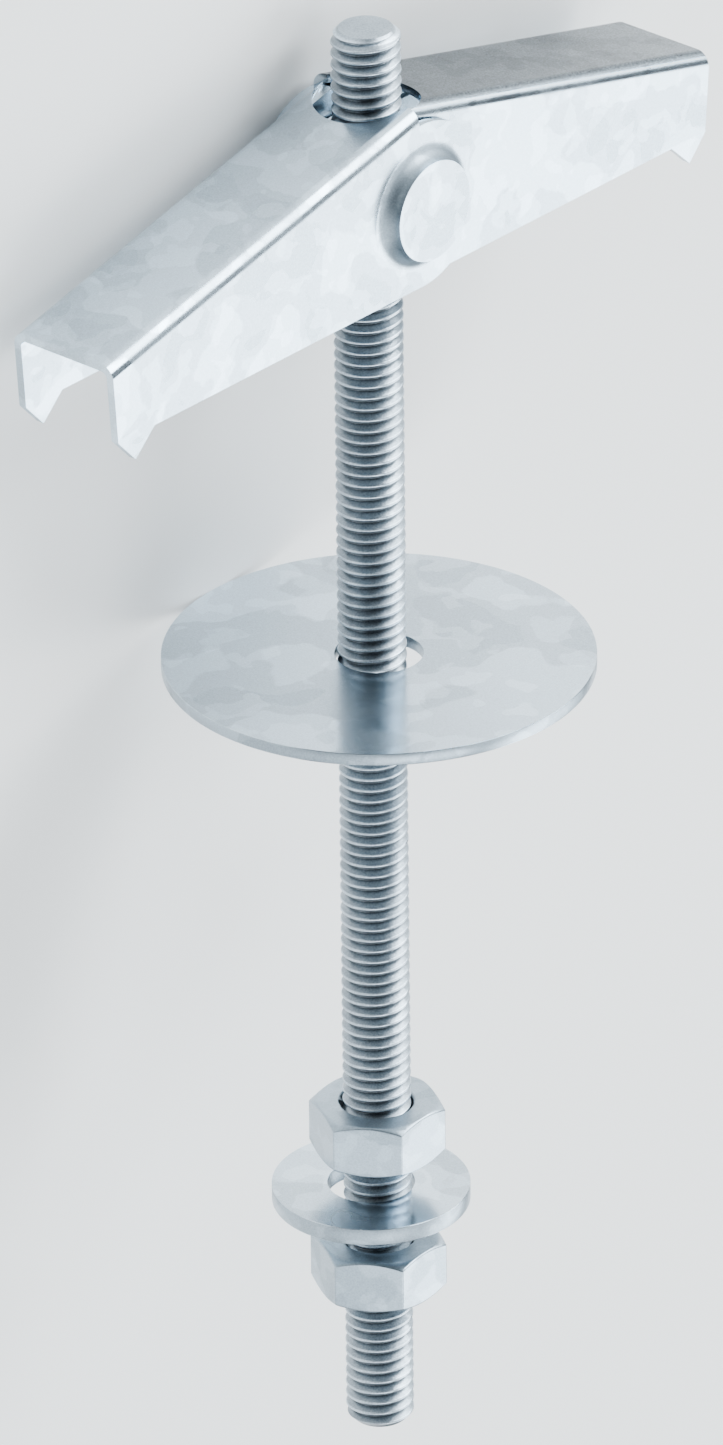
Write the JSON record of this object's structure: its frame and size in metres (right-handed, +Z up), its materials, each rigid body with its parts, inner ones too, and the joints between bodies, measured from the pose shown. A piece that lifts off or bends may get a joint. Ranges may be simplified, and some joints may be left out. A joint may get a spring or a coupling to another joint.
{
  "type": "spring toggle bolt",
  "caption": "Spring toggle bolt: folded sheet-steel wings that spring open on a barrel nut, on a threaded rod with a wide washer, a small washer and nuts.",
  "frame": {"origin": "centre of the footprint, on the table that the bolt lies on", "axes": "+Z up, +Y along the rod's plan direction towards the wings, +X across, along the open wings; the rod dips towards the wings by 12.03 degrees, as the bolt lies on a boss and on the wide washer's rim"},
  "size_m": [0.0522, 0.0886, 0.0246],
  "materials": {
    "rod": "zinc-plated thread",
    "left_wing": "galvanised sheet with fine spangle",
    "right_wing": "galvanised sheet with fine spangle",
    "barrel": "turned and zinc-plated",
    "spring": "spring wire",
    "wide_washer": "zinc-plated, slightly mottled",
    "small_washer": "zinc-plated, slightly mottled",
    "upper_nut": "zinc-plated",
    "lower_nut": "zinc-plated"
  },
  "bodies": {
    "rod": {"threaded_rod": "rod"},
    "head": {"barrel_nut": "barrel", "torsion_spring": "spring"},
    "left_wing": {"left_wing": "left_wing"},
    "right_wing": {"right_wing": "right_wing"},
    "wide_washer": {"wide_washer": "wide_washer"},
    "small_washer": {"small_washer": "small_washer"},
    "upper_nut": {"upper_nut": "upper_nut"},
    "lower_nut": {"lower_nut": "lower_nut"}
  },
  "joints": [
    {"name": "head_travel", "type": "slide", "parent": "rod", "child": "head", "axis": [0, -0.978, 0.2085], "range_m": [-0.004, 0.01]},
    {"name": "left_wing_fold", "type": "hinge", "parent": "head", "child": "left_wing", "pos_m": [0, 0.03433, 0.00555], "axis": [0, -0.2085, -0.978], "range_deg": [-81, 0], "stiffness_Nm_per_rad": 0.0025, "springref_deg": 57.3, "deforming": ["torsion_spring"]},
    {"name": "right_wing_fold", "type": "hinge", "parent": "head", "child": "right_wing", "pos_m": [0, 0.03433, 0.00555], "axis": [0, 0.2085, 0.978], "range_deg": [-81, 0], "stiffness_Nm_per_rad": 0.0025, "springref_deg": 57.3, "deforming": ["torsion_spring"]},
    {"name": "wide_washer_slide", "type": "slide", "parent": "rod", "child": "wide_washer", "axis": [0, -0.978, 0.2085], "range_m": [-0.006, 0.025]},
    {"name": "small_washer_slide", "type": "slide", "parent": "rod", "child": "small_washer", "axis": [0, -0.978, 0.2085], "range_m": [-0.0021, 0.0022]},
    {"name": "upper_nut_travel", "type": "slide", "parent": "rod", "child": "upper_nut", "axis": [0, -0.978, 0.2085], "range_m": [-0.015, 0.0018]},
    {"name": "lower_nut_travel", "type": "slide", "parent": "rod", "child": "lower_nut", "axis": [0, -0.978, 0.2085], "range_m": [-0.0018, 0.0075]}
  ]
}
